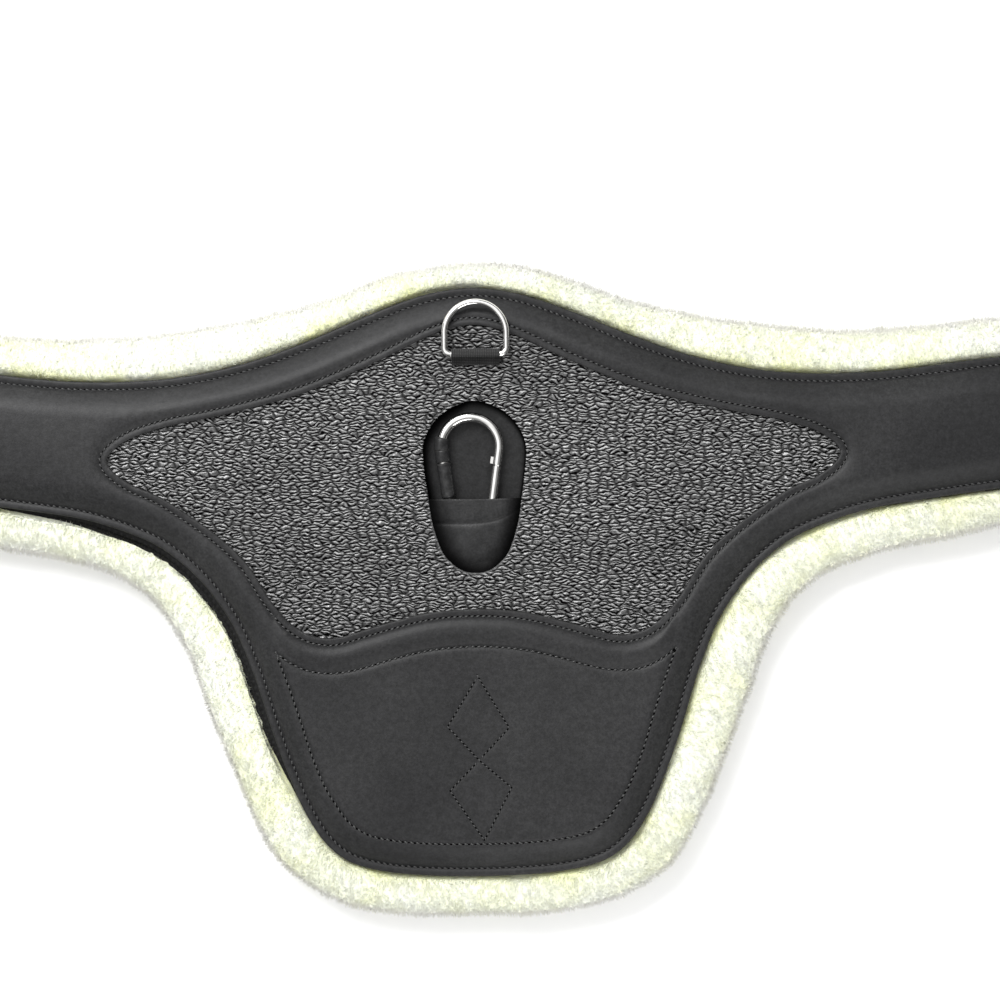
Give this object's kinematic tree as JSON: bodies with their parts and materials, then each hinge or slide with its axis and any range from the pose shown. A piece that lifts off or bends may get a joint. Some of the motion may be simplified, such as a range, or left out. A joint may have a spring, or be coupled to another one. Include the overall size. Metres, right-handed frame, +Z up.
{
  "type": "belly guard girth",
  "caption": "Long padded leather saddle girth with a wide belly guard, snap hook recess, D-ring, elastic buckle ends and a removable fleece liner.",
  "frame": {"origin": "middle of the plan box, on the plane the fleece rests on", "axes": "+X along the girth, +Y towards the horse's head, +Z up, out of the girth's outside face"},
  "size_m": [1.1984, 0.406, 0.04],
  "materials": {
    "smooth_leather": "satin black smooth leather, fine pores",
    "grained_leather": "black pebble-grained leather",
    "lining_leather": "plain black lining leather",
    "sheepskin": "cream sheepskin, short dense pile",
    "backing_cloth": "black backing cloth",
    "loop_tape": "brushed loop tape",
    "hook_tape": "moulded hook tape",
    "webbing": "black ribbed webbing",
    "elastic": "black woven elastic",
    "foam": "closed-cell foam",
    "plated_steel": "polished nickel plate",
    "spring_steel": "bright drawn wire"
  },
  "bodies": {
    "root": {"fleece_pile": "sheepskin", "fleece_backing": "backing_cloth", "liner_loop_strips": "loop_tape"},
    "girth": {"girth_hook_strips": "hook_tape", "lining_leather": "lining_leather", "load_webs": "webbing", "foam_core": "foam", "band_padding": "foam", "ridge_filler": "foam", "grain_inlay": "grained_leather", "top_leather": "smooth_leather", "recess_cup": "smooth_leather", "hook_pocket": "smooth_leather", "hook_keepers": "smooth_leather", "d_ring_loop": "webbing", "left_front_elastic": "elastic", "left_rear_elastic": "elastic", "right_front_elastic": "elastic", "right_rear_elastic": "elastic"},
    "d_ring": {"d_ring": "plated_steel"},
    "snap_hook": {"snap_hook_body": "plated_steel", "gate_pin": "plated_steel"},
    "gate": {"snap_hook_gate": "plated_steel", "gate_plunger": "spring_steel", "gate_spring": "spring_steel"},
    "left_front_end": {"left_front_chape": "smooth_leather"},
    "left_front_frame": {"left_front_buckle_frame": "plated_steel"},
    "left_front_tongue": {"left_front_buckle_tongue": "plated_steel"},
    "left_front_roller": {"left_front_buckle_roller": "plated_steel"},
    "left_rear_end": {"left_rear_chape": "smooth_leather"},
    "left_rear_frame": {"left_rear_buckle_frame": "plated_steel"},
    "left_rear_tongue": {"left_rear_buckle_tongue": "plated_steel"},
    "left_rear_roller": {"left_rear_buckle_roller": "plated_steel"},
    "right_front_end": {"right_front_chape": "smooth_leather"},
    "right_front_frame": {"right_front_buckle_frame": "plated_steel"},
    "right_front_tongue": {"right_front_buckle_tongue": "plated_steel"},
    "right_front_roller": {"right_front_buckle_roller": "plated_steel"},
    "right_rear_end": {"right_rear_chape": "smooth_leather"},
    "right_rear_frame": {"right_rear_buckle_frame": "plated_steel"},
    "right_rear_tongue": {"right_rear_buckle_tongue": "plated_steel"},
    "right_rear_roller": {"right_rear_buckle_roller": "plated_steel"}
  },
  "joints": [
    {"name": "liner_release", "type": "slide", "parent": "root", "child": "girth", "axis": [0, 0, 1], "range_m": [0, 0.06]},
    {"name": "d_ring_flip", "type": "hinge", "parent": "girth", "child": "d_ring", "pos_m": [0.002, 0.146, 0.0365], "axis": [1, 0, 0], "range_deg": [0, 170]},
    {"name": "hook_swing", "type": "hinge", "parent": "girth", "child": "snap_hook", "pos_m": [-0.0124, 0.03355, 0.0298], "axis": [0.1384, -0.9904, 0], "range_deg": [0, 120], "deforming": ["hook_pocket"]},
    {"name": "gate_open", "type": "hinge", "parent": "snap_hook", "child": "gate", "pos_m": [0.00917, 0.03909, 0.0298], "axis": [0, 0, 1], "range_deg": [0, 24], "deforming": ["gate_spring"]},
    {"name": "left_front_stretch", "type": "slide", "parent": "girth", "child": "left_front_end", "axis": [-1, 0, 0], "range_m": [0, 0.025], "stiffness_N_per_m": 800, "deforming": ["left_front_elastic"]},
    {"name": "left_front_buckle", "type": "hinge", "parent": "left_front_end", "child": "left_front_frame", "pos_m": [-0.56, 0.1265, 0.016], "axis": [0, 1, 0], "range_deg": [-20, 45]},
    {"name": "left_front_tongue", "type": "hinge", "parent": "left_front_frame", "child": "left_front_tongue", "pos_m": [-0.56, 0.1265, 0.016], "axis": [0, 1, 0], "range_deg": [0, 90]},
    {"name": "left_front_roller", "type": "hinge", "parent": "left_front_frame", "child": "left_front_roller", "pos_m": [-0.594, 0.1265, 0.016], "axis": [0, 1, 0], "continuous": true},
    {"name": "left_rear_stretch", "type": "slide", "parent": "girth", "child": "left_rear_end", "axis": [-1, 0, 0], "range_m": [0, 0.025], "stiffness_N_per_m": 800, "deforming": ["left_rear_elastic"]},
    {"name": "left_rear_buckle", "type": "hinge", "parent": "left_rear_end", "child": "left_rear_frame", "pos_m": [-0.56, 0.0885, 0.016], "axis": [0, 1, 0], "range_deg": [-20, 45]},
    {"name": "left_rear_tongue", "type": "hinge", "parent": "left_rear_frame", "child": "left_rear_tongue", "pos_m": [-0.56, 0.0885, 0.016], "axis": [0, 1, 0], "range_deg": [0, 90]},
    {"name": "left_rear_roller", "type": "hinge", "parent": "left_rear_frame", "child": "left_rear_roller", "pos_m": [-0.594, 0.0885, 0.016], "axis": [0, 1, 0], "continuous": true},
    {"name": "right_front_stretch", "type": "slide", "parent": "girth", "child": "right_front_end", "axis": [1, 0, 0], "range_m": [0, 0.025], "stiffness_N_per_m": 800, "deforming": ["right_front_elastic"]},
    {"name": "right_front_buckle", "type": "hinge", "parent": "right_front_end", "child": "right_front_frame", "pos_m": [0.56, 0.1265, 0.016], "axis": [0, -1, 0], "range_deg": [-20, 45]},
    {"name": "right_front_tongue", "type": "hinge", "parent": "right_front_frame", "child": "right_front_tongue", "pos_m": [0.56, 0.1265, 0.016], "axis": [0, -1, 0], "range_deg": [0, 90]},
    {"name": "right_front_roller", "type": "hinge", "parent": "right_front_frame", "child": "right_front_roller", "pos_m": [0.594, 0.1265, 0.016], "axis": [0, 1, 0], "continuous": true},
    {"name": "right_rear_stretch", "type": "slide", "parent": "girth", "child": "right_rear_end", "axis": [1, 0, 0], "range_m": [0, 0.025], "stiffness_N_per_m": 800, "deforming": ["right_rear_elastic"]},
    {"name": "right_rear_buckle", "type": "hinge", "parent": "right_rear_end", "child": "right_rear_frame", "pos_m": [0.56, 0.0885, 0.016], "axis": [0, -1, 0], "range_deg": [-20, 45]},
    {"name": "right_rear_tongue", "type": "hinge", "parent": "right_rear_frame", "child": "right_rear_tongue", "pos_m": [0.56, 0.0885, 0.016], "axis": [0, -1, 0], "range_deg": [0, 90]},
    {"name": "right_rear_roller", "type": "hinge", "parent": "right_rear_frame", "child": "right_rear_roller", "pos_m": [0.594, 0.0885, 0.016], "axis": [0, 1, 0], "continuous": true}
  ]
}
